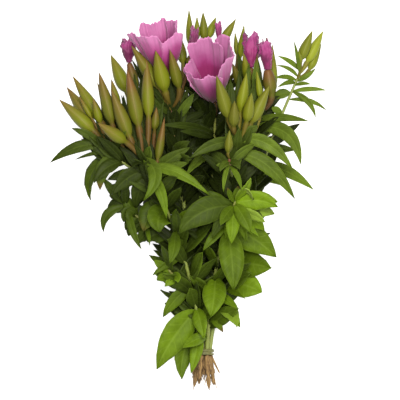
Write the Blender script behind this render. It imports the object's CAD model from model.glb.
# A tied bunch of cut godetia, lying on a pale surface and seen from above.
# The rows below give each stem's route, buds and leaves in millimetres, in the layout's
# own frame: +Y to the flowers, +Z up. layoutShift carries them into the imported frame.
import bmesh
import bpy
from math import acos, atan2, cos, hypot, pi, radians, sin, sqrt
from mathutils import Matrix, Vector, noise
from mathutils.kdtree import KDTree


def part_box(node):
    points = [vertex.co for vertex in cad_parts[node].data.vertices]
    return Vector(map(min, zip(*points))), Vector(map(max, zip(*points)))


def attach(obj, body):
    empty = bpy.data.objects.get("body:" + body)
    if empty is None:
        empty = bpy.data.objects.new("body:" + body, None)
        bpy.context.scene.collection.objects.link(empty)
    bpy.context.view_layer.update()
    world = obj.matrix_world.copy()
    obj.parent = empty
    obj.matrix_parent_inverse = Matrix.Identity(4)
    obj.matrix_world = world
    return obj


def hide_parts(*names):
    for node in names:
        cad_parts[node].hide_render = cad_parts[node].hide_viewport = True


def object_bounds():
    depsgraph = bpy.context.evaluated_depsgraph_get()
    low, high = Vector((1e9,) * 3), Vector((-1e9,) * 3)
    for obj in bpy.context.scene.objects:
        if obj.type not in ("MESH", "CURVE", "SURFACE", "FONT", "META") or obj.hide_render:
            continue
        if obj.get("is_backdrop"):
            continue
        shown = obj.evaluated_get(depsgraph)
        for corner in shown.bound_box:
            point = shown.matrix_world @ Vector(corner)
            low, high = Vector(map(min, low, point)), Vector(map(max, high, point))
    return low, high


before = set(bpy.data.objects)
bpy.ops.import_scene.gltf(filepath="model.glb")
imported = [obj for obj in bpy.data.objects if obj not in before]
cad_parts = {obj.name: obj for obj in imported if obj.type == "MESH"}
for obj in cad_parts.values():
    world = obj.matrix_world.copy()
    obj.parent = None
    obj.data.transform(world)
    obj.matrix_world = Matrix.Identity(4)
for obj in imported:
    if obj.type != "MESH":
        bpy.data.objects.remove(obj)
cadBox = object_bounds()

mm = 0.001
goldenAngle = 2.39996

bunch = {
    "tieX": 4, "tieY": -152,  # the middle of the tie
    "stemRadius": 2.2, "topRadius": 1.25, "sideRadius": 1.6,
    "stemSpacing": 5.5,
    "rootTopY": -157, "rootLengths": [27, 35, 32, 23, 37, 29, 33],
    "fanStartY": -95, "fanStartRise": 2, "fanSpread": 1.3, "headLead": 68,
    "halfWidth": 22, "widening": 0.44, "widestY": 70,  # how it spreads from the tie
    "roof": 30, "rising": 0.42, "highestY": 20,
}

bandLow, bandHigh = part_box("tie_band")
bundleZ = (bandHigh.z + bandLow.z) / 2 / mm
bandMiddle = (bandLow + bandHigh) / 2
layoutShift = bandMiddle - Vector((bunch["tieX"], bunch["tieY"], bundleZ)) * mm


def toFrame(point):
    return point * mm + layoutShift


# slot: where a stem stands in the tie, in degrees round the middle one
# head and lean: where it ends, and which way it faces there
# from: a side shoot's parent, and the Y at which it leaves it
# bareFrom and redFrom: the Y past which no filler leaf grows, and where the stem reddens
# buds: foot x, y, then tip x, y, z and width; budTone: how light they are, past 1 pale
# opening: name, foot x, y, tip x, y, z, width, top of the petals x, y, z, and their spread
# leaves: Y of the foot, tip x, y, z, width, roll, and the bend x, y, z of the blade;
# then, where given, how bright the leaf is, past 1 pale, and how dry its tip is
# more: leaves in small gaps, which only the scene has
stems = {
  "left": {
    "slot": 120, "head": [-60, 45, 76], "lean": [-0.5, 0.85, 0.2],
    "buds": [
      [-70, 63, -88, 110, 90, 13], [-61, 74, -72, 130, 88, 14], [-51, 83, -53, 140, 78, 12],
      [-74, 58, -101, 76, 96, 12], [-42, 40, -35, 82, 86, 8], [-88, 75, -102, 117, 66, 7],
      [-81, 90, -88, 120, 66, 8], [-45, 70, -43, 92, 76, 8],
    ],
    "leaves": [
      [30, -87, 5, 74, 18, -20, -4, 8, 6], [42, -56, -1, 96, 14, 10, 26, 8, 16, 0.62],
      [30, -33, -18, 90, 11, 0, 6, 6, 14, 0.72], [32, 9, 5, 92, 12, -15, -2, 18, 12, 0.75],
      [38, -66, 32, 94, 8, 60, -4, 2, 8], [-10, -40, -32, 78, 26, -10, -8, 6, 14],
      [-30, -30, -63, 70, 12, 10, 4, 0, 12], [-56, -47, -75, 46, 8, -20, -4, 2, 6],
      [-85, -37, -117, 26, 14, -15, -4, 2, 6], [-110, -43, -169, 26, 29, -12, -4, 6, 12, 0.68],
      [-108, 4, -138, 38, 15, 12, 0, 4, 10, 0.7], [-130, -9, -173, 30, 13, 5, 2, 2, 8, 0.75],
    ],
    "more": [
      [36, -65, 126, 60, 9, 10, -2, 0, 0, 0.1], [38, -70, 116, 58, 12, 10, 0, 0, 0, 0.12],
      [38, -59, 124, 56, 10, 0, 0, 0, 0, 0.15], [34, -57, 134, 54, 9, -15, 0, 0, 0, 0.15],
      [30, -44, 122, 58, 10, 20, 2, 0, 0, 0.1], [34, -78, 104, 62, 9, 10, -2, 0, 0, 0.1],
      [32, -36, 112, 56, 10, -10, 2, 0, 0, 0.2], [26, -62, 92, 66, 10, 10, 0, 0, 0, 0.1],
      [28, -50, 88, 66, 9, -20, 0, 0, 0, 0.1], [30, -80, 88, 60, 9, 20, 0, 0, 0, 0.1],
      [34, -88, 92, 52, 12, 10, 0, 0, 0, 0.1], [26, -10, 52, 82, 13, 10, 0, 2, 6, 0.4],
      [22, -11, 37, 84, 11, -10, 0, 4, 6, 0.45], [-4, -56, -31, 70, 24, 10, -8, 6, 8, 0.25, 0.5],
    ],
  },
  "leftTip": {
    "from": ["left", -5], "head": [-97, 57, 68], "lean": [-0.6, 0.75, 0.15],
    "buds": [
      [-106, 69, -140, 100, 68, 13], [-108, 77, -133, 113, 60, 12], [-98, 78, -127, 124, 54, 12],
      [-87, 76, -100, 127, 76, 12], [-99, 77, -106, 101, 76, 8], [-108, 82, -120, 103, 66, 5],
    ],
    "leaves": [
      [54, -149, 37, 52, 12, 15, 0, 14, 12], [55, -127, 71, 78, 8, -10, -2, 4, 4],
      [48, -124, 40, 60, 4, 0, 0, 4, 4], [46, -109, 0, 50, 14, 35, -20, 8, 6],
      [38, -105, 17, 76, 14, 15, -4, 8, 10], [28, -80, 3, 58, 17, -10, -4, 10, 8, 0.32],
      [24, -92, 20, 46, 12, 20, -4, 6, 6, 0.2], [44, -99, 10, 64, 15, -10, -8, 6, 6, 0.42, 1],
      [18, -64, -8, 52, 19, -10, -4, 10, 8, 0.1], [10, -56, 14, 48, 16, 15, -2, 6, 6, 0.1],
    ],
    "more": [
      [46, -96, 96, 46, 8, 10, 0, 0, 0, 0.1], [36, -84, 90, 50, 13, 10, 2, 0, 0, 0.12],
      [44, -97, 114, 42, 12, -10, -2, 0, 0, 0.12], [36, -76, 104, 52, 12, 0, 2, 0, 0, 0.15],
      [46, -106, 92, 44, 8, -10, 0, 0, 0, 0.15], [44, -88, 86, 50, 8, 20, 0, 0, 0, 0.1],
    ],
  },
  "leftLow": {
    "from": ["left", -70], "head": [-78, 0, 46], "lean": [-0.6, 0.8, 0.05],
    "buds": [],
    "leaves": [
      [-6, -96, -32, 42, 10, 20, -15, 10, 6, 0.2], [-14, -76, -22, 48, 16, -20, -2, 8, 8, 0.25],
      [-34, -52, -42, 46, 18, 10, -4, 6, 6, 0.15], [-8, -58, -49, 60, 8, 10, -6, 0, 12, 0.3],
      [-16, -66, -24, 52, 17, -15, -4, 8, 8, 0.2], [-20, -50, -45, 66, 5, 20, 4, 2, 6],
      [-4, -96, 22, 56, 9, 0, -4, 2, 4], [-3, -74, 24, 64, 8, 30, 2, 2, 4],
      [-24, -71, -36, 34, 13, -20, -8, 4, 4, 0.2],
    ],
    "more": [
      [-10, -92, -8, 40, 16, 10, -4, 8, 4, 0.1], [-2, -88, 14, 44, 18, -15, -2, 6, 4, 0.1],
      [-20, -74, -30, 40, 14, 10, -4, 4, 6, 0.15], [-30, -62, -44, 38, 14, -10, -4, 4, 6, 0.15],
      [-38, -46, -34, 44, 18, 10, -4, 4, 6, 0.2],
    ],
  },
  "leftSprig": {
    "from": ["left", -98], "head": [-32, -68, 46], "lean": [-0.5, 0.8, 0.2],
    "buds": [],
    "leaves": [
      [-72, -46, -60, 48, 9, 0, -2, 2, 3, 0.65], [-74, -43, -80, 40, 11, 15, -3, 2, 4, 0.65],
      [-76, -35, -86, 50, 10, -10, 2, 2, 5, 0.65], [-74, -22, -82, 58, 9, 10, 3, 3, 6, 0.65],
    ],
  },
  "bloomLeft": {
    "slot": 180, "head": [-30, 98, 52], "lean": [-0.15, 1, 0.15],
    "buds": [
      [-35, 109, -44, 148, 93, 15], [-21, 112, -30, 149, 86, 11], [-42, 113, -68, 153, 84, 13],
      [-73, 108, -89, 145, 46, 13], [-17, 136, -20, 164, 44, 9],
    ],
    "opening": [
      ["opening_flower_1", -63, 110, -73, 145, 52, 9, -72, 160, 52, 7],
      ["opening_flower_2", -11, 134, -9, 147, 48, 7, -4, 170, 50, 5],
    ],
    "leaves": [
      [34, -8, 40, 88, 14, 10, -6, 6, 26], [38, -10, 58, 82, 14, -12, -10, 4, 22],
      [62, -92, 92, 40, 9, 10, -4, 8, 4], [76, -6, 106, 60, 9, 0, 4, 4, 6],
      [84, -50, 104, 66, 8, 20, -4, 2, 6], [-128, -18, -179, 12, 21, -20, -10, 4, 10, 0.4],
    ],
    "more": [
      [58, -63, 138, 48, 15, 10, -2, 4, 0, 0.1], [62, -54, 134, 44, 10, -10, -2, 4, 0, 0.1],
      [70, -26, 140, 46, 10, 10, 0, 0, 0, 0.15], [70, -61, 150, 44, 11, 0, 0, 0, 0, 0.2],
      [62, -68, 140, 40, 10, 10, 0, 0, 0, 0.15], [60, -12, 112, 50, 11, 0, 0, 0, 0, 0.1],
      [60, -40, 128, 44, 10, 0, 0, 0, 0, 0.1],
    ],
  },
  "back": {
    "slot": 240, "head": [6, 124, 26], "lean": [0.05, 1, 0.05],
    "buds": [
      [-10, 155, -11, 190, 40, 7], [4, 160, 3, 188, 30, 8], [8, 162, 16, 183, 26, 8],
      [22, 158, 36, 181, 26, 8], [40, 142, 44, 175, 42, 7], [-3, 160, -3, 183, 34, 6],
      [37, 145, 35, 167, 34, 5],
    ],
    "opening": [
      ["opening_flower_3", 18, 150, 19, 162, 34, 6, 18, 177, 36, 3.2],
    ],
    "leaves": [
      [100, -34, 128, 20, 10, 0, -4, 6, 4], [96, 44, 122, 16, 10, 0, 4, 6, 4],
      [110, -22, 150, 18, 8, 10, -4, 2, 2],
    ],
  },
  "bloomRight": {
    "slot": 0, "middle": True, "head": [15, 88, 36], "lean": [0, 0.9, 0.4],
    "buds": [],
    "leaves": [
      [66, -40, 74, 84, 8, 0, 4, 6, 26], [62, -20, 68, 90, 8, 15, 2, 2, 26],
      [50, -14, 24, 84, 10, 20, -2, 6, 24],
    ],
  },
  "frontRight": {
    "slot": 60, "head": [40, 64, 84], "lean": [0.15, 0.9, 0.3],
    "buds": [
      [33, 73, 34, 98, 106, 11], [28, 82, 16, 123, 104, 13], [46, 78, 51, 106, 102, 11],
      [40, 88, 46, 126, 94, 11], [51, 77, 69, 114, 92, 12], [60, 100, 56, 128, 78, 6],
    ],
    "leaves": [
      [58, -10, 41, 96, 12, -10, -2, 10, 8], [58, 92, 30, 84, 14, 10, 0, 24, 12, 0.6],
      [46, 94, 1, 74, 16, -10, 2, 22, 12, 0.42], [-76, 11, -116, 60, 24, 8, 2, 2, 16, 0.6],
      [-92, 38, -108, 50, 9, -10, 2, 2, 5], [-116, 23, -132, 32, 8, 0, 2, 2, 5],
      [-136, -17, -147, 36, 12, 0, 0, 4, 9],
    ],
    "more": [
      [52, 30, 120, 74, 13, 10, -2, 0, 4, 0.1], [50, 27, 118, 64, 17, 20, 0, 0, 0, 0.35],
      [54, 42, 116, 62, 15, 0, 0, 0, 0, 0.15], [54, 39, 130, 70, 12, -10, 0, 0, 4, 0.15],
      [54, 49, 136, 66, 12, 10, 0, 0, 4, 0.3], [52, 63, 112, 66, 11, -10, 2, 0, 4, 0.1],
      [52, 57, 124, 64, 11, 10, 2, 0, 4, 0.15],
    ],
  },
  "frontShoot": {
    "from": ["frontRight", 10], "head": [29, 42, 96], "lean": [0, 0.9, 0.4],
    "buds": [[28, 47, 29, 69, 108, 8]],
    "leaves": [
      [38, 20, 28, 104, 8, 30, -3, 4, 4], [38, 39, 30, 104, 8, -30, 3, 4, 4],
      [40, 36, 52, 110, 5, 0, 0, 2, 3], [36, 23, 8, 104, 5, 20, -3, 4, 5, 0.65],
      [34, 41, 10, 106, 6, -15, 3, 4, 5, 0.7], [30, 16, 34, 92, 6, 10, -3, 4, 6, 0.6],
    ],
  },
  "whorl": {
    "from": ["frontRight", -58], "head": [35, 0, 88], "lean": [0.2, 0.8, 0.5],
    "buds": [],
    "leaves": [
      [-4, 77, -7, 84, 20, 10, 0, 10, 10, 0.95], [-6, 31, -43, 98, 14, -12, 0, 0, 10],
      [-4, 50, -32, 92, 15, 12, 2, 2, 8], [-6, -21, -33, 92, 27, -8, -6, 16, 14, 0.24],
      [-6, 20, -25, 98, 11, 0, -2, 2, 6], [-8, 62, -17, 78, 13, -15, 2, 6, 4],
      [-10, 46, -42, 78, 12, 20, 2, 2, 4], [-22, 3, -50, 76, 10, 15, -2, 2, 6],
      [-26, 33, -89, 82, 25, -6, 4, -2, 14, 0.38], [-28, 76, -57, 52, 29, 12, 2, 10, 6, 0.5],
      [-1, 50, 22, 102, 12, 55, 4, 0, 6, 0.9], [-2, 38, 14, 106, 7, 0, 0, 2, 3],
      [-3, 27, 12, 104, 6, 20, -2, 2, 3],
    ],
    "more": [
      [-6, 77, -2, 74, 19, 12, 2, 8, 8, 1.1], [-10, 64, -22, 90, 13, 40, 6, 2, 6, 1.3],
      [-12, 58, -36, 84, 9, -30, 2, 2, 4, 0.9], [-8, 74, -14, 68, 20, -10, 2, 6, 8, 1.3],
      [-10, 64, -30, 66, 17, 10, 4, 4, 6, 0.9], [-2, 52, 0, 94, 12, 60, 2, 20, 14, 1.5],
      [-12, 52, -34, 70, 12, -10, 2, 4, 6, 1.0], [-14, 26, -40, 70, 10, 20, -2, 4, 6, 0.6],
      [-6, 12, -38, 84, 12, -15, -4, 4, 6, 0.15],
    ],
  },
  "right": {
    "slot": 300, "head": [57, 90, 40], "lean": [0.2, 1, 0.1],
    "buds": [
      [74, 112, 72, 156, 38, 7], [48, 118, 43, 146, 62, 8], [40, 113, 32, 136, 60, 8],
      [68, 145, 66, 162, 30, 5],
    ],
    "opening": [
      ["opening_flower_4", 50, 118, 51, 136, 46, 10, 51, 165, 43, 8.5],
      ["opening_flower_5", 71, 106, 66, 138, 52, 13, 65, 158, 60, 6.5],
    ],
    "leaves": [
      [72, 100, 35, 64, 15, 10, 18, 26, 8, 0.6], [80, 108, 78, 62, 8, 0, 0, 6, 6],
      [82, 57, 145, 54, 9, 30, -2, 2, 4], [74, 25, 118, 58, 9, 20, -2, 4, 8],
      [-98, 40, -127, 38, 15, -10, 4, 4, 8, 1.0], [-85, 45, -98, 42, 7, 0, 2, 2, 5],
    ],
    "more": [
      [-96, 37, -126, 54, 18, -10, 6, 4, 6, 1.2], [84, 38, 146, 36, 12, 10, -2, 0, 0, 0.25],
      [82, 33, 130, 38, 11, -10, -2, 0, 0, 0.15], [86, 58, 140, 34, 12, 0, 0, 0, 0, 0.2],
    ],
  },
  "farRight": {
    "slot": 0, "head": [103, 133, 42], "lean": [0.45, 0.9, 0.05], "bareFrom": 55, "redFrom": 0.92,
    "budTone": 0.55,
    "buds": [
      [100, 140, 112, 169, 50, 10], [107, 138, 123, 169, 40, 10], [109, 130, 121, 156, 32, 8],
      [100, 136, 98, 148, 54, 5],
    ],
    "leaves": [
      [125, 93, 158, 50, 4, 0, 2, -2, 3, 0.7], [128, 77, 143, 54, 5, 10, 2, 4, 4, 0.8],
      [122, 76, 134, 44, 4, 0, 4, 5, 3, 0.7], [119, 74, 121, 54, 5, -10, 0, 5, 4, 0.8],
      [116, 77, 112, 48, 5, 0, 4, 6, 4, 0.6], [118, 115, 131, 38, 5, 0, 2, -2, 3, 0.7],
      [114, 110, 115, 52, 4, 10, 0, 3, 4, 1.0], [108, 126, 109, 44, 5, 0, 2, 4, 4, 0.8],
      [108, 115, 82, 48, 6, 15, 8, 6, 5, 0.6], [100, 126, 89, 36, 5, -10, 6, 8, 4, 0.6],
      [106, 72, 100, 36, 10, 10, -2, 5, 4, 0.5], [86, 71, 91, 46, 7, 0, -2, 3, 4, 0.9],
      [36, 113, 10, 54, 12, 0, 0, 10, 8], [-64, 71, -68, 40, 27, 8, 2, 4, 6, 0.5],
      [-80, 62, -92, 32, 26, -8, 6, 2, 8, 0.8],
    ],
  },
  "underLeft": {
    "from": ["bloomLeft", -20], "head": [-44, 58, 18], "lean": [-0.4, 0.9, -0.05],
    "buds": [
      [-52, 72, -66, 108, 12, 11], [-44, 74, -46, 112, 10, 11], [-60, 68, -84, 98, 16, 10],
    ],
    "leaves": [
      [50, -92, 52, -4, 12, 0, -4, 6, 2], [44, -20, 78, -4, 11, 0, 2, 6, 0],
      [34, -78, 20, -4, 14, 0, -4, 8, 2], [20, -52, -12, -4, 15, 0, -6, 6, 0],
    ],
  },
  "underRight": {
    "from": ["right", -20], "head": [44, 54, 16], "lean": [0.3, 0.95, -0.05],
    "buds": [
      [42, 70, 34, 106, 10, 11], [52, 68, 60, 104, 10, 11], [60, 62, 84, 90, 16, 10],
    ],
    "leaves": [
      [46, 96, 50, -4, 12, 0, 4, 6, 2], [42, 14, 76, -4, 11, 0, -2, 6, 0],
      [30, 84, 14, -4, 14, 0, 4, 8, 2], [16, 56, -16, -4, 15, 0, 6, 6, 0],
    ],
  },
}

# petals: turn and half width in degrees, height as a share of depth, flare at the rim,
# belly half way up, lift of the rim's corners, and folds
blooms = [
  {
    "name": "bloom_1", "stem": "bloomLeft",
    "foot": [-34, 122, 54], "faces": [-0.2, 0.9, 0.38], "depth": 48, "radius": 21, "turn": 20,
    "petals": [
      [30, 46, 1.25, 8, 2, -0.1, 0.9],
      [86, 62, 1.0, 3, 1, 0.0, 0.8],
      [178, 48, 1.1, 2, 0, 0.04, 1.0],
      [250, 44, 1.1, 0, 0, 0.0, 1.5],
    ],
  },
  {
    "name": "bloom_2", "stem": "bloomRight",
    "foot": [14, 97, 43], "faces": [-0.15, 0.7, 0.7], "depth": 59, "radius": 21, "turn": 50,
    "petals": [
      [8, 62, 0.97, 2, 0, 0.0, 0.8],
      [124, 68, 1.17, 8, 3, 0.0, 1.2],
      [206, 52, 1.13, 1, 0, 0.04, 1.0],
      [302, 48, 0.86, 1, -2, 0.0, 1.3],
    ],
  },
]

stemNodes = {
    "left": "stem_left",
    "bloomLeft": "stem_bloom_1",
    "back": "stem_back",
    "bloomRight": "stem_bloom_2",
    "frontRight": "stem_front",
    "right": "stem_right",
    "farRight": "stem_far_right",
}

# ---- curves

up = Vector((0, 0, 1))
budShape = {
    "spacing": 0.018, "base": 0.36,  # the share of a bud's length that is stalk
    "ribs": 4, "ribDepth": 0.055, "rings": 22,
}


def scattered(seed):
    # an even run of numbers from 0 to 1, the same each time
    run = {"state": seed}

    def take():
        run["state"] = run["state"] * 16807 % 2147483647
        return run["state"] / 2147483647

    return take


draw = scattered(4217)  # as in the solids
vary = scattered(9091)


def lerp(a, b, t):
    return a + (b - a) * t


def clamp(value, low, high):
    return max(low, min(high, value))


def narrowed(row, t):
    # blends neighbours until one point is left
    while len(row) > 1:
        row = [p.lerp(q, t) for p, q in zip(row, row[1:])]
    return row[0]


def bezier(points):
    # point and direction along a curve of three or four control points
    a = [Vector(p) for p in points]
    steps = [q - p for p, q in zip(a, a[1:])]
    return lambda t: narrowed(a, t), lambda t: narrowed(steps, t).normalized()


def across(way, roll=0.0):
    # the two directions across a curve, side and face
    side = up.cross(way)
    if side.length < 1e-3:
        side = Vector((1, 0, 0))
    side.normalize()
    face = way.cross(side).normalized()
    c, s = cos(roll), sin(roll)
    return side * c + face * s, face * c - side * s


def placeAtY(curve, y):
    low, high = 0.0, 1.0
    for _ in range(30):
        middle = (low + high) / 2
        if curve[0](middle).y < y:
            low = middle
        else:
            high = middle
    return low


def mainCurve(stem):
    a = radians(stem["slot"])
    off = 0 if stem.get("middle") else bunch["stemSpacing"]
    slot = Vector((off * cos(a), 0, off * sin(a)))
    start = Vector((bunch["tieX"], bunch["rootTopY"], bundleZ)) + slot
    fan = Vector((bunch["tieX"], bunch["fanStartY"], bundleZ + bunch["fanStartRise"]))
    fan += slot * bunch["fanSpread"]
    head = Vector(stem["head"])
    lead = head - Vector(stem["lean"]).normalized() * bunch["headLead"]
    return bezier([start, fan, lead, head])


def sideCurve(stem, parent):
    t = placeAtY(parent, stem["from"][1])
    start = parent[0](t)
    head = Vector(stem["head"])
    lead = 0.45 * (head - start).length
    return bezier([start, start + parent[1](t) * lead, head - Vector(stem["lean"]).normalized() * lead, head])


def leafCurve(foot, tip, bend):
    return bezier([foot, (foot + tip) / 2 + bend, tip])


def budCurve(foot, base, tip):
    # a bent stalk as far as the base, then a nearly straight bud
    share = budShape["base"]
    reach = (base - foot).length
    stalk = bezier([foot, base - (tip - base).normalized() * 0.45 * reach, base])
    body = bezier([base, (base + tip) / 2, tip])

    def along(which):
        return lambda t: stalk[which](t / share) if t < share else body[which]((t - share) / (1 - share))

    return along(0), along(1)


curves = {}
nodeOf = {}
for name, stem in stems.items():
    parent = stem.get("from")
    curves[name] = sideCurve(stem, curves[parent[0]]) if parent else mainCurve(stem)
    nodeOf[name] = nodeOf[parent[0]] if parent else stemNodes[name]

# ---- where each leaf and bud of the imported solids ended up
# the solids raise a tip when a neighbour is in its way, so the same tip is looked up here

liftTries = [0, 6, -6, 12, -12, 18]


def cornersOf(node):
    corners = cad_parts[node].data.vertices
    tree = KDTree(len(corners))
    for i, corner in enumerate(corners):
        tree.insert(corner.co, i)
    tree.balance()
    return tree


corners = {node: cornersOf(node) for node in stemNodes.values()}


def settledTip(node, tip, lowest=0.0):
    # the tip as the solids have it, or None where they leave the piece out
    for lift in liftTries:
        raised = Vector((tip.x, tip.y, max(tip.z + lift, min(tip.z, 0.6))))
        raised.z = max(raised.z, lowest)
        if corners[node].find(toFrame(raised))[2] < 0.4 * mm:
            return raised
    return None


# ---- modelling by hand: blanks made once, then copied and bent into place

def clearSelection():
    for thing in bpy.context.selected_objects:
        thing.select_set(False)


def choose(piece):
    clearSelection()
    bpy.context.view_layer.objects.active = piece
    piece.select_set(True)


def edit(piece):
    choose(piece)
    bpy.ops.object.mode_set(mode="EDIT")
    bpy.ops.mesh.select_mode(type="VERT")


def pick(piece, test):
    # selects the vertices that pass the test
    mesh = bmesh.from_edit_mesh(piece.data)
    for corner in mesh.verts:
        corner.select_set(bool(test(corner.co)))
    mesh.select_flush_mode()
    bmesh.update_edit_mesh(piece.data)


def grid(name, columns, rows):
    clearSelection()
    bpy.ops.mesh.primitive_grid_add(x_subdivisions=columns, y_subdivisions=rows, size=1)
    bpy.context.object.name = name
    return bpy.context.object


def bladeBlank(name, columns, rows, outline, keel, ripple):
    # a flat leaf one long and one wide, cut to its outline row by row and folded at its rib
    blank = grid(name, columns, rows)
    edit(blank)
    for k in range(rows + 1):
        y = k / rows - 0.5
        pick(blank, lambda co: abs(co.y - y) < 0.2 / rows)
        bpy.ops.transform.resize(value=(outline(k / rows), 1, 1))
    pick(blank, lambda co: abs(co.x) < 0.001)
    bpy.ops.transform.translate(value=(0, 0, -keel))
    for k in range(1, rows):
        y = k / rows - 0.5
        lift = ripple * sin(2.3 * k)
        pick(blank, lambda co: abs(co.y - y) < 0.2 / rows and abs(co.x) > 0.4 * outline(k / rows))
        bpy.ops.transform.translate(value=(0, 0, lift))
    bpy.ops.object.mode_set(mode="OBJECT")
    return blank


def rodBlank(name, sides, rings):
    # a closed rod whose rings are spaced evenly once it is bent, from pole to pole
    clearSelection()
    bpy.ops.mesh.primitive_uv_sphere_add(segments=sides, ring_count=rings, radius=1)
    bpy.context.object.name = name
    return bpy.context.object


def copyOf(blank):
    made = blank.copy()
    made.data = blank.data.copy()
    bpy.context.collection.objects.link(made)
    return made


def mark(piece, **values):
    # a number on every vertex, for the materials to read
    for key, value in values.items():
        layer = piece.data.attributes.new(key, "FLOAT", "POINT")
        listed = value if isinstance(value, list) else [value] * len(piece.data.vertices)
        layer.data.foreach_set("value", listed)


def joined(name, parts):
    clearSelection()
    for part in parts:
        part.select_set(True)
    bpy.context.view_layer.objects.active = parts[0]
    bpy.ops.object.join()
    parts[0].name = name
    return parts[0]


def thicken(piece, thickness, rim=0):
    # gives a sheet its wall; rim is how many slots further the far side's material is
    choose(piece)
    wall = piece.modifiers.new("Wall", "SOLIDIFY")
    wall.thickness = thickness * mm
    wall.offset = 0
    wall.material_offset = rim
    bpy.ops.object.modifier_apply(modifier=wall.name)


def bendRod(blank, curve, radiusAt, ribs=0, ribDepth=0.0, end=1.0):
    # a rod along a curve: radiusAt gives its radius in millimetres, 0 to 1 along it
    rod = copyOf(blank)
    along = []
    seam = []
    for corner in rod.data.vertices:
        s = 1 - acos(clamp(corner.co.z, -1, 1)) / pi
        angle = atan2(corner.co.y, corner.co.x)
        t = end * s
        side, face = across(curve[1](t))
        ridge = cos(ribs * angle)
        reach = radiusAt(s) * (1 + ribDepth * ridge)
        if hypot(corner.co.x, corner.co.y) < 1e-5:
            reach = 0
        corner.co = toFrame(curve[0](t) + side * reach * cos(angle) + face * reach * sin(angle))
        along.append(s)
        seam.append(0.5 + 0.5 * ridge)
    mark(rod, along=along, seam=seam)
    return rod


def bendBlade(blank, curve, width, roll, twist=0.0, curl=0.0, floor=0.35):
    # a leaf along a curve, twisted towards its tip and with its edges curled
    leaf = copyOf(blank)
    for corner in leaf.data.vertices:
        t = clamp(corner.co.y + 0.5, 0, 1)
        side, face = across(curve[1](t), roll + twist * t * t)
        off = corner.co.x * width
        rise = corner.co.z * width + curl * width * (2 * corner.co.x) ** 2 * t
        point = curve[0](t) + side * off + face * rise
        point.z = max(point.z, floor)
        corner.co = toFrame(point)
    return leaf


# ---- shader maths

def worked(operation):
    return lambda self, *others: self.paint.sum(operation, self, *others)


class Value:
    # a shader number that can be written in sums
    __add__ = __radd__ = worked("ADD")
    __mul__ = __rmul__ = worked("MULTIPLY")
    __sub__ = worked("SUBTRACT")
    __truediv__ = worked("DIVIDE")
    __abs__ = worked("ABSOLUTE")
    sine = worked("SINE")

    def __init__(self, paint, socket):
        self.paint = paint
        self.socket = socket

    def __rsub__(self, other):
        return self.paint.sum("SUBTRACT", other, self)

    def step(self, low, high):
        # 0 below low, 1 above high, smooth between
        made = self.paint.node(
            "ShaderNodeMapRange",
            {"interpolation_type": "SMOOTHSTEP"},
            {"Value": self, "From Min": low, "From Max": high},
        )
        return Value(self.paint, made.outputs["Result"])


class Paint:
    # one material and the nodes in it
    def __init__(self, name):
        self.material = bpy.data.materials.new(name)
        self.material.use_nodes = True
        self.tree = self.material.node_tree
        self.tree.nodes.clear()

    def node(self, kind, settings=None, values=None):
        made = self.tree.nodes.new(kind)
        for key, value in (settings or {}).items():
            setattr(made, key, value)
        for key, value in (values or {}).items():
            socket = made.inputs[key]
            if isinstance(value, Value):
                value = value.socket
            if isinstance(value, bpy.types.NodeSocket):
                self.tree.links.new(value, socket)
            else:
                socket.default_value = value
        return made

    def sum(self, operation, *values):
        made = self.node("ShaderNodeMath", {"operation": operation}, dict(enumerate(values)))
        return Value(self, made.outputs[0])

    def marks(self, *names):
        # the numbers that the pieces carry
        made = [
            self.node("ShaderNodeAttribute", {"attribute_type": "GEOMETRY", "attribute_name": name})
            for name in names
        ]
        return [Value(self, each.outputs["Fac"]) for each in made]

    def split(self, vector):
        # the first two numbers of three
        parts = self.node("ShaderNodeSeparateXYZ", None, {0: vector})
        return Value(self, parts.outputs[0]), Value(self, parts.outputs[1])

    def ownUv(self):
        return self.split(self.node("ShaderNodeUVMap", {"uv_map": "UVMap"}).outputs[0])

    def objectPlace(self):
        return self.node("ShaderNodeTexCoord").outputs["Object"]

    def noise(self, scale, detail=2.0, rough=0.5, place=None):
        made = self.node(
            "ShaderNodeTexNoise",
            None,
            {"Vector": place or self.objectPlace(), "Scale": scale, "Detail": detail, "Roughness": rough},
        )
        return Value(self, made.outputs[0])

    def stretched(self, scale):
        made = self.node("ShaderNodeMapping", None, {"Vector": self.objectPlace(), "Scale": scale})
        return made.outputs[0]

    def mix(self, factor, first, second):
        made = self.node("ShaderNodeMix", {"data_type": "RGBA"}, {0: factor, 6: first, 7: second})
        return made.outputs[2]

    def over(self, colour, *layers):
        # each layer is how much of it shows, then its colour
        for share, added in layers:
            colour = self.mix(share, colour, added)
        return colour

    def bump(self, height, strength, distance):
        values = {"Height": height, "Strength": strength, "Distance": distance}
        return self.node("ShaderNodeBump", None, values).outputs[0]

    def finish(self, colour, roughness, normal=None, seeThrough=0.0, glow=(1, 1, 1, 1), **surface):
        values = {"Base Color": colour, "Roughness": roughness}
        values.update(surface)
        if normal is not None:
            values["Normal"] = normal
        body = self.node("ShaderNodeBsdfPrincipled", None, values).outputs[0]
        if seeThrough:
            through = self.node("ShaderNodeBsdfTranslucent", None, {"Color": glow}).outputs[0]
            body = self.node("ShaderNodeMixShader", None, {0: seeThrough, 1: body, 2: through}).outputs[0]
        self.node("ShaderNodeOutputMaterial", None, {"Surface": body})
        return self.material


def tint(red, green, blue):
    # a colour as the eye reads it, 0 to 255, made linear for the shaders
    parts = [part / 255 for part in (red, green, blue)]
    linear = [part / 12.92 if part <= 0.04045 else ((part + 0.055) / 1.055) ** 2.4 for part in parts]
    return (*linear, 1.0)


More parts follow.
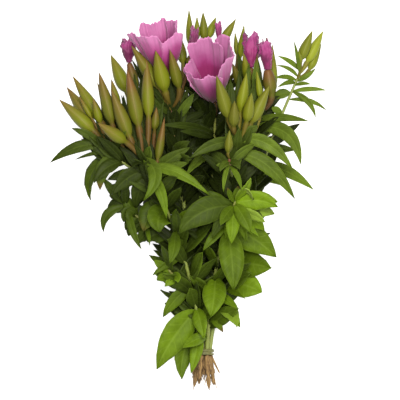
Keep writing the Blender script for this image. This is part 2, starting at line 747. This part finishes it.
leafLook = {
    "dark": tint(5, 9, 3), "deep": tint(14, 25, 3), "rib": tint(122, 144, 56),
    "fresh": tint(108, 132, 38), "freshLow": tint(108, 140, 6),  # among the flowers, and lower down
    "pale": tint(150, 164, 92),
    "under": tint(76, 90, 26), "brown": tint(76, 64, 28), "glow": tint(104, 130, 10),
    "veins": 8, "translucence": 0.1,
}


def leafMaterial(name, isUnder):
    paint = Paint(name)
    u, v = paint.ownUv()
    off = abs(u - 0.5) * 2
    tone, age, inner = paint.marks("tone", "age", "inner")
    mottle = paint.noise(90, 4, 0.6)
    low = 1 - paint.split(paint.objectPlace())[1].step(-0.01, 0.05)
    fresh = paint.mix(low, leafLook["fresh"], leafLook["freshLow"])
    lit = 1 - inner * 0.6
    body = paint.over(
        leafLook["deep"], (tone, fresh), (tone - 1, leafLook["pale"]), (inner, leafLook["dark"])
    )
    if isUnder:
        body = paint.mix(0.3 * lit, body, leafLook["under"])
    veinWave = ((v * leafLook["veins"] - off * 1.3) * 6.283).sine()
    veins = veinWave.step(0.82, 1.0) * off.step(0.0, 0.2) * (1 - off.step(0.7, 1.0))
    rib = (1 - off.step(0.03, 0.13)) * (1 - v.step(0.75, 1.0) * 0.7)
    dry = (v + mottle * 0.5 - 0.25).step(0.74, 0.95) * age
    body = paint.over(
        body,
        (mottle.step(0.3, 0.75) * 0.35, leafLook["deep"]),
        (veins * (0.05 + tone * 0.14) * lit, leafLook["rib"]),
        (rib * (0.08 + tone * 0.18) * lit, leafLook["rib"]),
        (off.step(0.86, 1.0) * (0.08 + tone * 0.22) * lit, leafLook["rib"]),
        (dry, leafLook["brown"]),
    )
    height = (1 - rib) * 0.6 - veins * 0.5 + mottle * 0.2
    roughness = 0.42 + mottle * 0.22 + dry * 0.3
    normal = paint.bump(height, 0.5, 0.0006)
    through = leafLook["translucence"] * (1 - inner)
    return paint.finish(body, roughness, normal, through, leafLook["glow"], **{"Specular IOR Level": 0.08})


leafTop = leafMaterial("leafTop", False)
leafUnder = leafMaterial("leafUnder", True)

budLook = {
    "olive": tint(66, 66, 10), "lime": tint(100, 109, 5), "tip": tint(98, 56, 36),
    "ovary": tint(74, 46, 22), "shade": tint(80, 50, 24), "pale": tint(150, 158, 52),
    "ripe": {"left": 0.9, "leftTip": 1.0, "bloomLeft": 0.45, "right": 0.4, "back": 0.15, "frontRight": 0.1},
}


def budMaterial():
    paint = Paint("budSkin")
    along, seam, tone, age = paint.marks("along", "seam", "tone", "age")
    fine = paint.noise(240, 3, 0.6)
    patch = paint.noise(45, 2, 0.5)
    body = paint.over(
        budLook["olive"],
        (tone, budLook["lime"]),
        (tone - 1, budLook["pale"]),
        (seam.step(0.6, 1.0) * (0.05 + age * 0.35), budLook["shade"]),
        ((along + patch * 0.3).step(0.66, 1.15) * (0.06 + age * 0.8), budLook["tip"]),
        (patch.step(0.5, 0.75) * age * 0.3, budLook["tip"]),
        (seam.step(0.95, 1.0) * along.step(0.36, 0.5) * 0.3, budLook["pale"]),
        ((1 - along.step(0.3, 0.42)) * (0.5 + age * 0.4), budLook["ovary"]),
    )
    normal = paint.bump(fine * 0.5 + seam * 0.4, 0.35, 0.0005)
    return paint.finish(body, 0.5 + fine * 0.2, normal, **{"Specular IOR Level": 0.25})


budSkin = budMaterial()

stalkLook = {
    "green": tint(100, 112, 42), "red": tint(96, 52, 34),
    "brown": tint(128, 102, 60), "dark": tint(84, 60, 32),
}


def stalkMaterial():
    paint = Paint("stalkSkin")
    age, root = paint.marks("age", "root")  # age: 0 green, 1 reddish
    streak = paint.noise(60, 4, 0.6, paint.stretched((14, 1.2, 14)))
    fine = paint.noise(300, 3, 0.6)
    bark = paint.mix(streak.step(0.35, 0.65), stalkLook["brown"], stalkLook["dark"])
    body = paint.over(
        stalkLook["green"],
        (age, stalkLook["red"]), (streak.step(0.5, 0.75) * 0.4, stalkLook["dark"]), (root, bark),
    )
    normal = paint.bump(streak + fine * 0.4, 0.6, 0.0007)
    return paint.finish(body, 0.55 + root * 0.3, normal)


stalkSkin = stalkMaterial()

petalLook = {
    "plum": tint(92, 14, 46), "throat": tint(128, 36, 88), "middle": tint(146, 56, 114),
    "rim": tint(188, 120, 168), "vein": tint(136, 40, 98), "withered": tint(92, 34, 68),
    "glow": tint(196, 96, 166), "translucence": 0.22,
}


def petalMaterial(name, deepest, middleFrom, middleTo, withered=0.0):
    # deepest colour at the foot, the middle one between the two heights given, then the rim's
    paint = Paint(name)
    u, v = paint.ownUv()
    cloud = paint.noise(50, 3, 0.55)
    off = abs(u - 0.5) * 2
    grain = paint.node("ShaderNodeCombineXYZ", None, {0: u * 46, 1: v * 2.2, 2: cloud * 0.6}).outputs[0]
    ray = paint.noise(1.0, 3, 0.7, grain)
    high = v + cloud * 0.3 - 0.15
    body = paint.over(
        deepest,
        (high.step(middleFrom, middleTo), petalLook["middle"]),
        (high.step(middleTo - 0.1, middleTo + 0.25) * 0.9, petalLook["rim"]),
        (ray.step(0.5, 0.72) * (1 - v * 0.6) * 0.26, petalLook["vein"]),
        (off.step(0.9, 1.0) * 0.2, petalLook["rim"]),
    )
    if withered:
        body = paint.mix(cloud.step(0.4, 0.62) * withered, body, petalLook["withered"])
    normal = paint.bump(ray + cloud * 0.3, 0.35, 0.0006)
    return paint.finish(
        body, 0.5 + ray * 0.14, normal, petalLook["translucence"], petalLook["glow"],
        **{"Specular IOR Level": 0.3, "Sheen Weight": 0.2, "Sheen Roughness": 0.4},
    )


petalOutside = petalMaterial("petalOutside", petalLook["plum"], 0.26, 0.72)
petalInside = petalMaterial("petalInside", petalLook["throat"], 0.5, 0.66)
petalCrumpled = petalMaterial("petalCrumpled", petalLook["throat"], 0.15, 0.9, 0.85)


def plainMaterial(name, first, second, scale, roughness, bumpDepth):
    paint = Paint(name)
    grain = paint.noise(scale, 3, 0.6)
    body = paint.mix(grain.step(0.35, 0.7), first, second)
    return paint.finish(body, roughness + grain * 0.15, paint.bump(grain, 0.5, bumpDepth))


stamenThread = plainMaterial("stamenThread", tint(226, 190, 196), tint(206, 140, 170), 200, 0.55, 0.0002)
stamenPollen = plainMaterial("stamenPollen", tint(232, 216, 170), tint(196, 166, 120), 700, 0.8, 0.0004)
bandRubber = plainMaterial("bandRubber", tint(92, 92, 48), tint(74, 76, 38), 160, 0.5, 0.0003)
print("materials ready")


def dress(piece, *materials):
    piece.data.materials.clear()
    for material in materials:
        piece.data.materials.append(material)


def settle(piece, slot, *nodes):
    for face in piece.data.polygons:
        face.use_smooth = True
    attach(piece, "root")
    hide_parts(*nodes)


# ---- leaves

blades = {
    "sheet": 0.45,  # mm, how thick a finished blade is
    "fillStep": 33, "fillTop": 24, "fillLowest": -128, "fillHighest": 150,
    "fillLong": 56, "fillShort": 34, "fillBroad": 17, "fillNarrow": 8,
    "dusk": 0.68,  # how much darker the upper left leaves are
    "shadeDepth": 28,  # mm inside the bunch at which a leaf is darkest
    "gully": 0.95, "gullyX": 2, "gullyHalf": 16,  # the dark gap up the middle
    "extraStep": 5.5,  # mm of stem between the leaves that only the scene has
    "extraLong": 50, "extraShort": 34, "extraBroad": 14, "extraNarrow": 9,
    "collar": 24, "collarLong": 30, "collarSide": 22,  # leaves behind each cluster of buds
    "dryShare": 0.12,  # how many of the other leaves have a dry tip
}


def lanceOutline(t):
    return max(0.1, sin(pi * t ** 0.82) ** 0.85) if t < 0.97 else 0.02


fineBlade = bladeBlank("fineBlade", 6, 12, lanceOutline, 0.1, 0.035)
plainBlade = bladeBlank("plainBlade", 4, 7, lanceOutline, 0.1, 0.03)


def halfWidthAt(y):
    past = clamp(y, bunch["tieY"], bunch["widestY"]) - bunch["tieY"]
    return bunch["halfWidth"] + bunch["widening"] * past


def roofAt(y):
    past = clamp(y, bunch["tieY"], bunch["highestY"]) - bunch["tieY"]
    return bunch["roof"] + bunch["rising"] * past


leafParts = {node: [] for node in stemNodes.values()}


def innerness(place):
    # 0 at the outside of the bunch, 1 well inside it
    point = (place - layoutShift) / mm
    sideways = halfWidthAt(point.y) - abs(point.x - bunch["tieX"])
    depth = min(0.96 * roofAt(point.y) - point.z, sideways, point.z)
    gully = blades["gully"] * clamp(1.6 - abs(point.x - blades["gullyX"]) / blades["gullyHalf"], 0, 1)
    gully *= clamp((point.y + 20) / 40, 0, 1)
    return clamp(max(gully, depth / blades["shadeDepth"]), 0, 1)


def addLeaf(node, blank, foot, tip, bend, width, roll, tone, age=0.0, twist=0.0, curl=0.0, shade=1.0):
    leaf = bendBlade(blank, leafCurve(foot, tip, bend), width, roll, twist, curl)
    dusk = blades["dusk"] * clamp((130 - tip.x) / 160, 0, 1) * clamp((tip.y + 100) / 100, 0, 1)
    dusk *= clamp(1.25 - tone, 0.3, 1) * (0.8 + 0.4 * vary())
    inner = [clamp(max(dusk, shade * innerness(corner.co)), 0, 0.97) for corner in leaf.data.vertices]
    mark(leaf, tone=tone, age=age, inner=inner)
    leafParts[node].append(leaf)


for name, stem in stems.items():
    for footY, x, y, z, width, roll, bendX, bendY, bendZ, *tone in stem["leaves"] + stem.get("more", []):
        foot = curves[name][0](placeAtY(curves[name], footY))
        wanted = Vector((x, y, z))
        tip = settledTip(nodeOf[name], wanted, 0.3) or wanted
        if tone:
            bright, dry, shade = tone[0], tone[1] if len(tone) > 1 else 0.0, 0.25
        else:
            # leaves to the right catch more light
            bright = (0.1 + 0.6 * vary()) * lerp(0.6, 1.4, clamp((tip.x + 140) / 280, 0, 1))
            dry, shade = 1.0 if vary() < blades["dryShare"] else 0.0, 0.5
        addLeaf(
            nodeOf[name], fineBlade, foot, tip, Vector((bendX, bendY, bendZ)), width, radians(roll),
            bright, dry, twist=0.7 * (vary() - 0.5), curl=0.12 * (vary() - 0.6), shade=shade,
        )


def grownAt(y):
    # 0 by the tie, 1 among the flowers
    return (y - blades["fillLowest"]) / (blades["fillHighest"] - blades["fillLowest"])


def placesUp(name, stem, first, step, bareTop):
    # the heights at which leaves grow from a stem, and the points there
    y = max(curves[name][0](0.12).y, blades["fillLowest"]) + first
    i = 0
    while y < stem.get("bareFrom", stem["head"][1] - bareTop):
        yield i, y, curves[name][0](placeAtY(curves[name], y))
        y += step
        i += 1


def fillerTip(foot, angle, reach, rise, inset, lowest, roof):
    # a tip round the stem, kept inside the bunch
    tip = foot + Vector((reach * cos(angle), rise, reach * sin(angle)))
    limit = inset * halfWidthAt(tip.y)
    tip.x = clamp(tip.x, bunch["tieX"] - limit, bunch["tieX"] + limit)
    tip.z = clamp(tip.z, lowest, roof * roofAt(tip.y))
    return tip


for index, (name, stem) in enumerate(stems.items()):
    for i, y, foot in placesUp(name, stem, 0, blades["fillStep"], blades["fillTop"]):
        long = lerp(blades["fillLong"], blades["fillShort"], grownAt(y)) * (0.85 + 0.3 * draw())
        tip = fillerTip(foot, goldenAngle * i + index, 0.8 * long, 0.4 * long, 1, 1, 1)
        width = lerp(blades["fillBroad"], blades["fillNarrow"], grownAt(y))
        roll = radians(60 * (draw() - 0.5))
        tip = settledTip(nodeOf[name], tip, 0.3)
        if tip:
            addLeaf(
                nodeOf[name], plainBlade, foot, tip, Vector((0, 0.12 * long, 0.08 * long)), width, roll,
                0.1 + 0.6 * vary(), twist=0.8 * (vary() - 0.5), curl=0.1 * (vary() - 0.5),
            )

# the leaves between those, which the solids have no room for
for index, (name, stem) in enumerate(stems.items()):
    for i, y, foot in placesUp(name, stem, 3, blades["extraStep"], 4):
        long = lerp(blades["extraLong"], blades["extraShort"], grownAt(y)) * (0.75 + 0.5 * vary())
        tip = fillerTip(foot, goldenAngle * i + 2.1 * index + 0.9, 0.72 * long, 0.55 * long, 0.9, 3, 0.86)
        width = lerp(blades["extraBroad"], blades["extraNarrow"], grownAt(y)) * (0.8 + 0.4 * vary())
        addLeaf(
            nodeOf[name], plainBlade, foot, tip, Vector((0, 0.1 * long, 0.1 * long)), width,
            radians(90 * (vary() - 0.5)), 0.05 + 0.5 * vary(),
            twist=0.9 * (vary() - 0.5), curl=0.12 * (vary() - 0.5),
        )

# short leaves that close the gaps behind the buds
for index, (name, stem) in enumerate(stems.items()):
    if "bareFrom" in stem or len(stem["buds"]) < 3:
        continue
    for i in range(blades["collar"]):
        t = 0.68 + 0.3 * i / blades["collar"]
        foot = curves[name][0](t)
        way = curves[name][1](t)
        side, face = across(way, goldenAngle * i + index)
        long = blades["collarSide" if "from" in stem else "collarLong"] + 12 * vary()
        tip = foot + way * long + side * 0.45 * long - up * 0.25 * long
        tip.z = max(tip.z, 4)
        addLeaf(
            nodeOf[name], plainBlade, foot, tip, side * 3, 9 + 3 * vary(), radians(60 * (vary() - 0.5)),
            0.3 * vary(), twist=0.8 * (vary() - 0.5), shade=1.4,
        )

for node, parts in leafParts.items():
    leaves = joined("leaves_" + node, parts)
    dress(leaves, leafTop, leafUnder)
    thicken(leaves, blades["sheet"], 1)
    settle(leaves, "foliage", node)
    print("leaves", node, len(leaves.data.polygons))

# ---- stems and roots

stalks = {"sides": 10, "rings": 40, "rootlets": 4}
stemRod = rodBlank("stemRod", stalks["sides"], stalks["rings"])
rootRod = rodBlank("rootRod", 7, 12)
stalkParts = {node: [] for node in stemNodes.values()}


def addStalk(node, blank, curve, radiusAt, reddish, root):
    rod = bendRod(blank, curve, radiusAt, 5, 0.05)
    along = [value.value for value in rod.data.attributes["along"].data]
    mark(rod, age=[reddish(s) for s in along], root=[root(s) for s in along])
    stalkParts[node].append(rod)


def addRoot(name, curve, radiusAt):
    addStalk(stemNodes[name], rootRod, curve, radiusAt, lambda s: 0.0, lambda s: 1.0)


for name, stem in stems.items():
    thick = bunch["sideRadius"] if "from" in stem else bunch["stemRadius"]
    hasBuds = bool(stem["buds"]) or "opening" in stem

    def stemRadiusAt(s):
        knots = 0.12 * sin(60 * s) ** 4  # the swellings where leaves grew
        return lerp(thick, bunch["topRadius"], s) * (1 + knots) * min(1, 12 * (1 - s) + 0.5)

    addStalk(
        nodeOf[name], stemRod, curves[name], stemRadiusAt,
        lambda s: clamp((s - stem.get("redFrom", 0.7)) / 0.25, 0, 1) if hasBuds else 0.15,
        lambda s: 0.0 if "from" in stem else clamp(1 - (s - 0.005) / 0.03, 0, 1),
    )

for index, name in enumerate(stemNodes):
    curve = curves[name]
    end = curve[0](0.02)
    away = Vector((end.x - bunch["tieX"], 0, end.z - bundleZ)) * 0.9
    long = bunch["rootLengths"][index]
    stubTip = end + Vector((away.x * 0.9, -long, max(away.z * 0.5, 2.4 - end.z)))
    sideTip = end + Vector((away.x * 1.6 + 2, -0.62 * long, max(away.z + 1, 1.4 - end.z)))
    stub = leafCurve(end, stubTip, Vector((0, -2, 0)))
    branch = leafCurve(end, sideTip, Vector((0.16 * away.x + 0.2, -2, 0)))

    def taper(s):
        lumps = 1 + 0.16 * sin(17 * s + 2 * index) + 0.08 * sin(41 * s)
        return lerp(bunch["stemRadius"] * 1.25, 1.5, s ** 2) * lumps * min(1, 9 * (1 - s))

    addRoot(name, stub, taper)
    addRoot(name, branch, lambda s: lerp(1.5, 0.7, s))
    for k in range(stalks["rootlets"]):
        start = stub[0](0.25 + 0.16 * k)
        turn = goldenAngle * k + index
        reach = Vector((4.5 * cos(turn), -7 - 5 * vary(), 3 * sin(turn)))
        tip = start + reach
        tip.z = max(tip.z, 0.6)
        hair = leafCurve(start, tip, Vector((cos(turn), 1, sin(turn))))
        addRoot(name, hair, lambda s: lerp(0.8, 0.3, s))

# ---- buds

budRod = rodBlank("budRod", 12, budShape["rings"])
budParts = {node: [] for node in stemNodes.values()}


def budRadius(s, width):
    # a stalk that thickens to the ovary, then the closed calyx, widest low down
    base = budShape["base"]
    if s < base:
        k = s / base
        return lerp(1.1, 0.25 * width, k) + 0.03 * width * sin(pi * k ** 1.6)
    k = min(0.999, (s - base) / (1 - base))
    tipRound = sqrt(min(1, 12 * (1 - k)))
    taper = max(0.2 * width * (1 - k) ** 6, 0.51 * width * sin(pi * k ** 0.57) ** 0.9, 0.7)
    return taper * tipRound


def addBud(node, curve, width, tone, age, end=1.0):
    def shape(s):
        return budRadius(s * end, width)

    bud = bendRod(budRod, curve, shape, budShape["ribs"], budShape["ribDepth"], end)
    mark(bud, tone=tone, age=age)
    budParts[node].append(bud)


for name, stem in stems.items():
    curve = curves[name]
    for i, (baseX, baseY, tipX, tipY, tipZ, width) in enumerate(stem["buds"]):
        foot = curve[0](0.98 - budShape["spacing"] * i)
        wanted = Vector((tipX, tipY, tipZ))
        tip = settledTip(nodeOf[name], wanted) or wanted
        base = Vector((baseX, baseY, lerp(foot.z, tip.z, 0.4)))
        ripe = budLook["ripe"].get(name, 0) * (0.6 + 0.4 * vary())
        tone = stem.get("budTone", 0.2) + 0.7 * vary()
        addBud(nodeOf[name], budCurve(foot, base, tip), width, tone, ripe)

# ---- the flowers that are opening or withering

crumple = {
    "turns": 1.45, "gap": 0.35, "calyxEnd": 0.86, "petalStart": 0.84, "crush": 0.42, "sheet": 0.4,
    "tighter": 0.35,  # how much smaller the inner turn of the roll is
    "seed": 27.2,
}
noise.seed_set(4217)  # the noise that crumples them starts from the clock otherwise


def crumpledSheet(name, foot, top, footRadius, spread, seed):
    # one sheet of petal rolled up loosely, pleated and ragged at its rim
    sheet = grid(name, 56, 16)
    axis = top - foot
    side, face = across(axis.normalized())
    for corner in sheet.data.vertices:
        u = corner.co.x + 0.5
        v = corner.co.y + 0.5
        angle = u * crumple["turns"] * 2 * pi + 1.3 * v + seed
        swell = sin(pi * min(1, 0.16 + 0.58 * v)) ** 0.8
        pleat = 0.16 * sin(9 * angle + 4 * v + seed) + 0.1 * sin(21 * angle + 9 * v)
        reach = lerp(footRadius, spread * swell, min(1, 2.4 * v)) * (1 + pleat * v)
        reach *= 1 - crumple["tighter"] * u
        ragged = 0.08 * sin(3 * angle + seed) + 0.05 * sin(7 * angle) + 0.025 * sin(17 * angle)
        point = foot + axis * (v * (1 + v * ragged) * 0.95)
        point = point + side * reach * cos(angle) + face * reach * sin(angle)
        crush = noise.noise_vector(point * 0.16 + Vector((seed, 0, 0)))
        crush += 0.5 * noise.noise_vector(point * 0.4)
        point += crush * crumple["crush"] * spread * v
        corner.co = toFrame(point)
    thicken(sheet, crumple["sheet"])
    return sheet


for name, stem in stems.items():
    for order, row in enumerate(stem.get("opening", [])):
        flower, footX, footY, tipX, tipY, tipZ, width, *top, spread = row
        foot = curves[name][0](0.97)
        base = Vector((footX, footY, lerp(foot.z, tipZ, 0.4)))
        line = budCurve(foot, base, Vector((tipX, tipY, tipZ)))
        addBud(nodeOf[name], line, width, 0.2, 0.9, crumple["calyxEnd"])
        start = line[0](crumple["petalStart"]) + line[1](crumple["petalStart"]) * crumple["gap"]
        petals = crumpledSheet(
            "petals_" + flower, start, Vector(top), 0.3 * width, spread, crumple["seed"] + order
        )
        dress(petals, petalCrumpled)
        settle(petals, "petals", flower + "_petals")

# ---- the open flowers

cup = {"across": 40, "along": 32, "thin": 0.45, "footRadius": 1.6}


def petalPoint(bloom, k, u, v):
    # u runs from -1 to 1 across the petal, v from 0 at its foot to 1 at its rim
    turn, wide, high, flare, belly, lift, fold = bloom["petals"][k]
    axis = Vector(bloom["faces"]).normalized()
    side, face = across(axis)
    halfAngle = radians(lerp(24, wide, min(1, 1.7 * v)))
    angle = radians(bloom["turn"] + turn) + u * halfAngle
    lap = 1.7 * min(1, 2.4 * v) * u
    swell = sin(0.5 * pi * v ** 0.85) ** 1.15
    radius = cup["footRadius"] + (bloom["radius"] - cup["footRadius"]) * swell + lap
    radius += flare * v ** 4 + belly * sin(pi * v)
    radius += fold * v ** 2 * (1.3 * sin(7 * angle + k) + 0.55 * sin(15 * angle + 2 * k + 2 * v))
    radius += fold * 0.3 * v * sin(29 * angle + 3 * v + k) + 0.5 * v ** 6 * sin(43 * angle + k)
    height = high * bloom["depth"] * v ** 1.1 * (1 + (lift * u * u - 0.1 * u ** 8) * v ** 2)
    height += v ** 3 * (1.7 * sin(5 * angle + 2 * k) + 0.9 * sin(13 * angle + k))
    height += 0.5 * v ** 8 * sin(37 * angle + 2 * k) - 0.1 * abs(flare) * v ** 6
    point = Vector(bloom["foot"]) + axis * height + side * radius * cos(angle)
    return point + face * radius * sin(angle)


def petalSheet(bloom, k):
    petal = grid("petal", cup["across"], cup["along"])
    for corner in petal.data.vertices:
        corner.co = toFrame(petalPoint(bloom, k, 2 * corner.co.x, corner.co.y + 0.5))
    return petal


threadRod = rodBlank("threadRod", 6, 10)


def addThread(parts, line, radiusAt, material):
    thread = bendRod(threadRod, line, radiusAt)
    dress(thread, material)
    parts.append(thread)


tuft = {
    "stamens": 8, "foot": 3.6, "lean": 0.26, "long": 0.27, "uneven": 0.03,
    "styleLean": 0.02, "styleLong": 0.42, "pollen": 2.4,
}


def stamenTuft(bloom):
    axis = Vector(bloom["faces"]).normalized()
    side, face = across(axis)
    floor = Vector(bloom["foot"]) + axis * tuft["foot"]
    parts = []
    for i in range(tuft["stamens"] + 1):
        isStyle = i == tuft["stamens"]
        a = i / tuft["stamens"] * 2 * pi
        lean = tuft["styleLean"] if isStyle else tuft["lean"]
        share = tuft["styleLong"] if isStyle else tuft["long"] + tuft["uneven"] * sin(5 * i)
        long = bloom["depth"] * share
        tip = floor + axis * long + (side * cos(a) + face * sin(a)) * lean * long
        line = bezier([floor, (floor + tip) / 2 + axis * 2, tip])
        addThread(parts, line, lambda s: lerp(0.6, 0.35, s), stamenThread)
        way = line[1](1.0)
        head = bezier([tip - way * tuft["pollen"], tip, tip + way * tuft["pollen"]])
        addThread(parts, head, lambda s: 0.9 * sin(pi * clamp(s, 0.05, 0.95)), stamenPollen)
    return joined("stamens_" + bloom["name"], parts)


for bloom in blooms:
    petals = joined("petals_" + bloom["name"], [petalSheet(bloom, k) for k in range(4)])
    dress(petals, petalOutside, petalInside)
    thicken(petals, cup["thin"], 1)
    settle(petals, "petals", bloom["name"] + "_petals")
    settle(stamenTuft(bloom), "stamens", bloom["name"] + "_stamens")
    curve = curves[bloom["stem"]]
    axis = Vector(bloom["faces"]).normalized()
    foot = Vector(bloom["foot"]) + axis * 0.6
    ovary = bezier([curve[0](0.97), Vector(bloom["foot"]) - axis * 12, foot])
    rod = bendRod(budRod, ovary, lambda s: 1.1 + 1.2 * sin(0.5 * pi * min(1, 1.5 * s)), 4, 0.06)
    mark(rod, tone=0.3, age=0.8)
    rod.data.attributes["along"].data.foreach_set("value", [0.1] * len(rod.data.vertices))
    budParts[nodeOf[bloom["stem"]]].append(rod)
    print("flower", bloom["name"])

for node in stemNodes.values():
    stalk = joined("stalks_" + node, stalkParts[node])
    dress(stalk, stalkSkin)
    settle(stalk, "foliage", node)
    if budParts[node]:
        buds = joined("buds_" + node, budParts[node])
        dress(buds, budSkin)
        settle(buds, "foliage", node)
print("stalks and buds joined")

# ---- the rubber band, wound three times round the stems

band = {"turns": 3, "pitch": 2.2, "radius": 1.0, "steps": 40, "clear": 0.15}


def bandLoops():
    low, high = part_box("tie_band")
    middle = (low + high) / 2
    reach = (high.x - low.x) / 2 - (band["radius"] + band["clear"]) * mm
    loops = []
    for k in range(band["turns"]):
        clearSelection()
        y = (k - (band["turns"] - 1) / 2) * band["pitch"] * mm
        bpy.ops.mesh.primitive_torus_add(
            major_segments=band["steps"], minor_segments=8, major_radius=reach,
            minor_radius=band["radius"] * mm, location=(middle.x, middle.y + y, middle.z),
            rotation=(pi / 2, 0, 0),
        )
        loop = bpy.context.object
        bpy.ops.object.transform_apply(location=True, rotation=True, scale=True)
        for corner in loop.data.vertices:
            turn = atan2(corner.co.z - middle.z, corner.co.x - middle.x)
            corner.co.y += 0.5 * mm * sin(turn + 2 * k)
            corner.co.z = max(corner.co.z, low.z)
        loops.append(loop)
    return joined("rubber_band", loops)


rubberBand = bandLoops()
dress(rubberBand, bandRubber)
settle(rubberBand, "band", "tie_band")

for blank in (fineBlade, plainBlade, stemRod, rootRod, budRod, threadRod):
    bpy.data.objects.remove(blank)
print("band wound")

# ---- the surface, the light and the camera

studio = {
    "floor": tint(170, 170, 170), "floorGlow": 0.9, "underShadow": 0.9,
    "world": 0.3, "key": 66.0, "fill": 14.0, "lampColour": (1.0, 0.96, 0.88),  # watts
    "cameraHeight": 6.0, "frameWidth": 0.397, "sensor": 36.0, "focusZ": 0.06,
}

clearSelection()
bpy.ops.mesh.primitive_plane_add(size=8, location=(0, 0, -0.0002))
floor = bpy.context.object
floor.name = "floor"


def floorMaterial():
    # paper that glows, but for the shadow under the thick of the bunch
    paint = Paint("floorPaper")
    x, y = paint.split(paint.objectPlace())
    off = abs(x - (layoutShift.x + bunch["tieX"] * mm))
    along = y - layoutShift.y
    half = (along - bunch["tieY"] * mm) * bunch["widening"] + bunch["halfWidth"] * mm
    shadow = (1 - (off / half).step(0.25, 0.6)) * along.step(-0.15, -0.1) * (1 - along.step(0.06, 0.11))
    glow = paint.mix(shadow * studio["underShadow"], (1, 1, 1, 1), (0, 0, 0, 1))
    body = paint.mix(shadow * studio["underShadow"], studio["floor"], (0, 0, 0, 1))
    return paint.finish(body, 0.9, **{"Emission Color": glow, "Emission Strength": studio["floorGlow"]})


dress(floor, floorMaterial())
floor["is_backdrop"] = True

world = bpy.data.worlds.new("studioWorld")
bpy.context.scene.world = world
world.use_nodes = True
world.node_tree.nodes["Background"].inputs["Color"].default_value = (1, 1, 1, 1)
world.node_tree.nodes["Background"].inputs["Strength"].default_value = studio["world"]


def softLight(name, place, size, power):
    lamp = bpy.data.lights.new(name, "AREA")
    lamp.color = studio["lampColour"]
    lamp.size = size
    lamp.energy = power
    thing = bpy.data.objects.new(name, lamp)
    bpy.context.collection.objects.link(thing)
    thing.location = place
    thing.rotation_euler = (Vector((0, 0, 0.05)) - Vector(place)).to_track_quat("-Z", "Y").to_euler()


softLight("key", (0.12, 0.4, 1.8), 0.9, studio["key"])
softLight("fill", (0.7, -0.9, 1.2), 0.8, studio["fill"])

lens = bpy.data.cameras.new("camera")
lens.sensor_width = studio["sensor"]
lens.lens = studio["sensor"] * (studio["cameraHeight"] - studio["focusZ"]) / studio["frameWidth"]
camera = bpy.data.objects.new("camera", lens)
bpy.context.collection.objects.link(camera)
camera.location = (layoutShift.x, layoutShift.y, studio["cameraHeight"])
bpy.context.scene.camera = camera
bpy.context.scene.view_settings.view_transform = "Standard"
bpy.context.scene.view_settings.look = "None"

({name: [list(corner) for corner in box] for name, box in
           (("cad", cadBox), ("visual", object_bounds()))})
